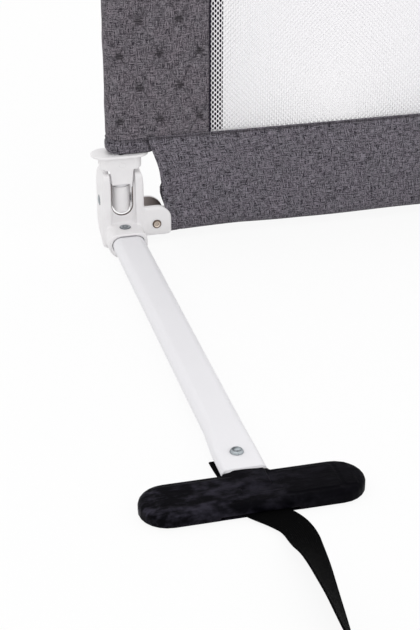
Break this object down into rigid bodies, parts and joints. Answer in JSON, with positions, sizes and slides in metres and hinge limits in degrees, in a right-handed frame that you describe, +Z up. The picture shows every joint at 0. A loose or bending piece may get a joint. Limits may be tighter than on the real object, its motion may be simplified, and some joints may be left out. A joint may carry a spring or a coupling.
{
  "type": "folding bed guard rail",
  "caption": "Folding bed guard rail: fabric and mesh guard on a tube frame, hinged at two corner housings with under-mattress arms, T feet and straps.",
  "frame": {"origin": "centre of the footprint of the whole part, at the level the feet stand on", "axes": "+X along the rail, +Y away from the bed (the guard's outer side), +Z up; the arms reach towards -Y under the mattress"},
  "size_m": [1.636, 0.7967, 0.45],
  "materials": {
    "white_plastic": "moulded, satin",
    "white_enamel": "powder-coated steel tube, satin",
    "black_plastic": "moulded, fine texture",
    "rubber": "matt",
    "zinc": "zinc plated",
    "brass": "rolled, plain",
    "cloth": "melange woven polyester, quilted with diamonds on the guard",
    "net": "white warp-knitted mesh",
    "webbing": "black woven webbing, 25 mm"
  },
  "bodies": {
    "base": {"left_hinge_housing": "white_plastic", "left_pivot_pin": "zinc", "left_socket_rivet": "zinc", "left_clevis_eyelet": "brass", "left_arm": "white_enamel", "left_foot_rivet": "zinc", "left_foot": "black_plastic", "left_foot_pad_inner": "rubber", "left_foot_pad_outer": "rubber", "left_strap_tail": "webbing", "left_strap_run": "webbing", "left_strap_coil": "webbing", "left_strap_tie": "webbing", "left_strap_anchor": "black_plastic", "right_hinge_housing": "white_plastic", "right_pivot_pin": "zinc", "right_socket_rivet": "zinc", "right_clevis_eyelet": "brass", "right_arm": "white_enamel", "right_foot_rivet": "zinc", "right_foot": "black_plastic", "right_foot_pad_inner": "rubber", "right_foot_pad_outer": "rubber", "right_strap_tail": "webbing", "right_strap_run": "webbing", "right_strap_coil": "webbing", "right_strap_tie": "webbing", "right_strap_anchor": "black_plastic", "lower_bar": "white_enamel", "skirt": "cloth"},
    "guard": {"left_knuckle": "white_plastic", "left_upright_tube": "white_enamel", "left_spring_plug": "black_plastic", "left_joint_sleeve": "zinc", "left_joint_screw": "zinc", "left_side_panel": "cloth", "left_cuff": "cloth", "left_collar_spring": "zinc", "right_knuckle": "white_plastic", "right_upright_tube": "white_enamel", "right_spring_plug": "black_plastic", "right_joint_sleeve": "zinc", "right_joint_screw": "zinc", "right_side_panel": "cloth", "right_cuff": "cloth", "right_collar_spring": "zinc", "top_bar": "white_enamel", "top_panel": "cloth", "front_net": "net", "back_net": "net"},
    "left_collar": {"left_collar": "white_plastic", "left_collar_pin": "white_plastic"},
    "right_collar": {"right_collar": "white_plastic", "right_collar_pin": "white_plastic"}
  },
  "joints": [
    {"name": "guard_fold", "type": "hinge", "parent": "base", "child": "guard", "pos_m": [0, 0.23, 0.0423], "axis": [1, 0, 0], "range_deg": [-160, 90]},
    {"name": "left_collar_lift", "type": "slide", "parent": "guard", "child": "left_collar", "axis": [0, 0, 1], "range_m": [0, 0.013], "stiffness_N_per_m": 150, "springref_m": -0.02, "deforming": ["left_collar_spring", "left_cuff"]},
    {"name": "right_collar_lift", "type": "slide", "parent": "guard", "child": "right_collar", "axis": [0, 0, 1], "range_m": [0, 0.013], "stiffness_N_per_m": 150, "springref_m": -0.02, "deforming": ["right_collar_spring", "right_cuff"]}
  ]
}
